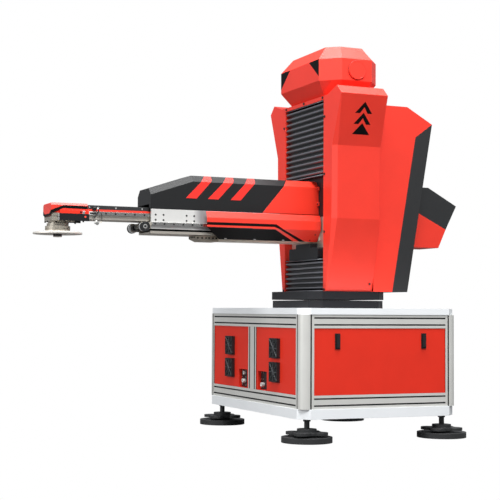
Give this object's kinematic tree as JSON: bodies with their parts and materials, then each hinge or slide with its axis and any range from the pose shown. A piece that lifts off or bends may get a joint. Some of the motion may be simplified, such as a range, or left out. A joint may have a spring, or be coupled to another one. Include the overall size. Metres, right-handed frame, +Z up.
{
  "type": "manipulator arm",
  "caption": "Telescopic arm with a turning tool disc, on a rising carriage in a swinging column over a box cabinet on levelling feet.",
  "frame": {"origin": "on the floor under the swing axis, at the centre of the cabinet", "axes": "+Z up; the arm points along -X at rest; the latch panel faces -Y"},
  "size_m": [2.8375, 1.596, 2.427],
  "materials": {
    "black_paint": "satin black paint",
    "grey_paint": "light grey paint",
    "profile_aluminium": "anodised extrusion",
    "panel_red": "satin red paint on steel sheet",
    "black_plastic": "moulded black",
    "grey_plastic": "moulded grey",
    "bright_steel": "ground steel",
    "cast_aluminium": "dark cast aluminium",
    "red_aluminium": "red painted aluminium",
    "red_paint": "satin red paint on aluminium sheet",
    "bellows_film": "glossy pleated film",
    "black_aluminium": "black anodised",
    "mill_aluminium": "machined",
    "black_plastic_cover": "satin black cover",
    "red_plastic_cover": "satin red cover",
    "belt_rubber": "toothed belt",
    "cable_black": "cable sheath",
    "cable_pale": "cable sheath",
    "bright_steel_aluminium": "turned aluminium"
  },
  "bodies": {
    "cabinet": {"levelling_feet": "black_paint", "cabinet_plates": "grey_paint", "cabinet_frame": "profile_aluminium", "latch_panel": "panel_red", "plain_panels": "panel_red", "fan_panels": "panel_red", "connectors": "bright_steel", "fan_housings": "black_plastic", "servo_drives": "grey_plastic", "swing_gearmotor": "cast_aluminium", "base_plate_lower": "black_paint", "bearing_outer_ring": "bright_steel"},
    "latch_left": {"latch_lever_left": "black_plastic"},
    "latch_right": {"latch_lever_right": "black_plastic"},
    "fan_near": {"fan_rotor_near": "black_plastic"},
    "fan_far": {"fan_rotor_far": "black_plastic"},
    "column": {"swing_hub": "bright_steel", "base_plate_upper": "black_paint", "column_pillars": "profile_aluminium", "lift_rails": "bright_steel", "column_top_plate": "red_aluminium", "column_shells": "red_paint", "rear_cover": "red_paint", "column_screws": "bright_steel", "head_housing": "red_paint", "lift_motor": "cast_aluminium", "bellows_upper": "bellows_film", "bellows_lower": "bellows_film"},
    "lift_screw": {"lift_screw": "bright_steel"},
    "carriage": {"carriage_plate_upper": "black_aluminium", "carriage_plate_lower": "mill_aluminium", "guide_blocks": "bright_steel", "lift_nut": "bright_steel", "arm_bracket": "black_aluminium", "arm_beams": "mill_aluminium", "tail_cover": "black_plastic_cover", "arm_cover": "black_plastic_cover", "root_cover": "red_plastic_cover", "lower_covers": "red_plastic_cover", "base_beam": "mill_aluminium", "guide_frames": "mill_aluminium", "extension_motor": "cast_aluminium"},
    "extension_screw": {"extension_screw": "bright_steel"},
    "middle_stage": {"mid_beam": "mill_aluminium", "mid_side_plates": "mill_aluminium", "mid_rails": "bright_steel", "front_blocks": "bright_steel", "drive_belt": "belt_rubber"},
    "front_pulley": {"front_pulley_shaft": "bright_steel"},
    "rear_pulley": {"rear_pulley": "bright_steel"},
    "front_stage": {"front_beam": "mill_aluminium", "front_rails": "bright_steel", "cable_cover": "black_plastic_cover", "wrist_bracket": "black_aluminium", "nose_cover": "red_plastic_cover", "wrist_gearbox": "mill_aluminium", "wrist_cable_black": "cable_black", "wrist_cable_pale": "cable_pale"},
    "wrist": {"wrist_hub": "bright_steel_aluminium", "tool_disc": "bright_steel_aluminium"}
  },
  "joints": [
    {"name": "swing", "type": "hinge", "parent": "cabinet", "child": "column", "pos_m": [0, 0, 0.83], "axis": [0, 0, 1], "range_deg": [-110, 110]},
    {"name": "lift", "type": "slide", "parent": "column", "child": "carriage", "axis": [0, 0, 1], "range_m": [-0.1, 0.2], "deforming": ["bellows_upper", "bellows_lower"]},
    {"name": "lift_screw_spin", "type": "hinge", "parent": "column", "child": "lift_screw", "pos_m": [-0.04, 0.14, 1.5], "axis": [0, 0, 1], "range_deg": [-3601, 1801]},
    {"name": "extend", "type": "slide", "parent": "carriage", "child": "middle_stage", "axis": [1, 0, 0], "range_m": [0, 0.23]},
    {"name": "extend_front", "type": "slide", "parent": "middle_stage", "child": "front_stage", "axis": [1, 0, 0], "range_m": [0, 0.23]},
    {"name": "extension_screw_spin", "type": "hinge", "parent": "carriage", "child": "extension_screw", "pos_m": [0.2, 0.05, 1.264], "axis": [1, 0, 0], "range_deg": [-4141, 1]},
    {"name": "front_pulley_spin", "type": "hinge", "parent": "middle_stage", "child": "front_pulley", "pos_m": [-1.285, 0, 1.264], "axis": [0, 1, 0], "range_deg": [-1, 629]},
    {"name": "rear_pulley_spin", "type": "hinge", "parent": "middle_stage", "child": "rear_pulley", "pos_m": [-0.44, 0, 1.264], "axis": [0, 1, 0], "range_deg": [-1, 629]},
    {"name": "wrist_spin", "type": "hinge", "parent": "front_stage", "child": "wrist", "pos_m": [-1.787, 0, 1.24], "axis": [0, 0, 1], "range_deg": [-180, 180]},
    {"name": "latch_left_turn", "type": "hinge", "parent": "cabinet", "child": "latch_left", "pos_m": [-0.292, -0.7, 0.587], "axis": [0, 1, 0], "range_deg": [0, 90]},
    {"name": "latch_right_turn", "type": "hinge", "parent": "cabinet", "child": "latch_right", "pos_m": [0.292, -0.7, 0.587], "axis": [0, 1, 0], "range_deg": [0, 90]},
    {"name": "fan_near_spin", "type": "hinge", "parent": "cabinet", "child": "fan_near", "pos_m": [-0.485, -0.348, 0.538], "axis": [1, 0, 0], "continuous": true},
    {"name": "fan_far_spin", "type": "hinge", "parent": "cabinet", "child": "fan_far", "pos_m": [-0.485, 0.348, 0.538], "axis": [1, 0, 0], "continuous": true}
  ],
  "couplings": [
    {"joint": "lift_screw_spin", "follows": "lift", "rad_per_m": -314.16},
    {"joint": "extend_front", "follows": "extend", "ratio": 1},
    {"joint": "extension_screw_spin", "follows": "extend", "rad_per_m": -314.16},
    {"joint": "front_pulley_spin", "follows": "extend", "rad_per_m": 47.619},
    {"joint": "rear_pulley_spin", "follows": "extend", "rad_per_m": 47.619}
  ]
}
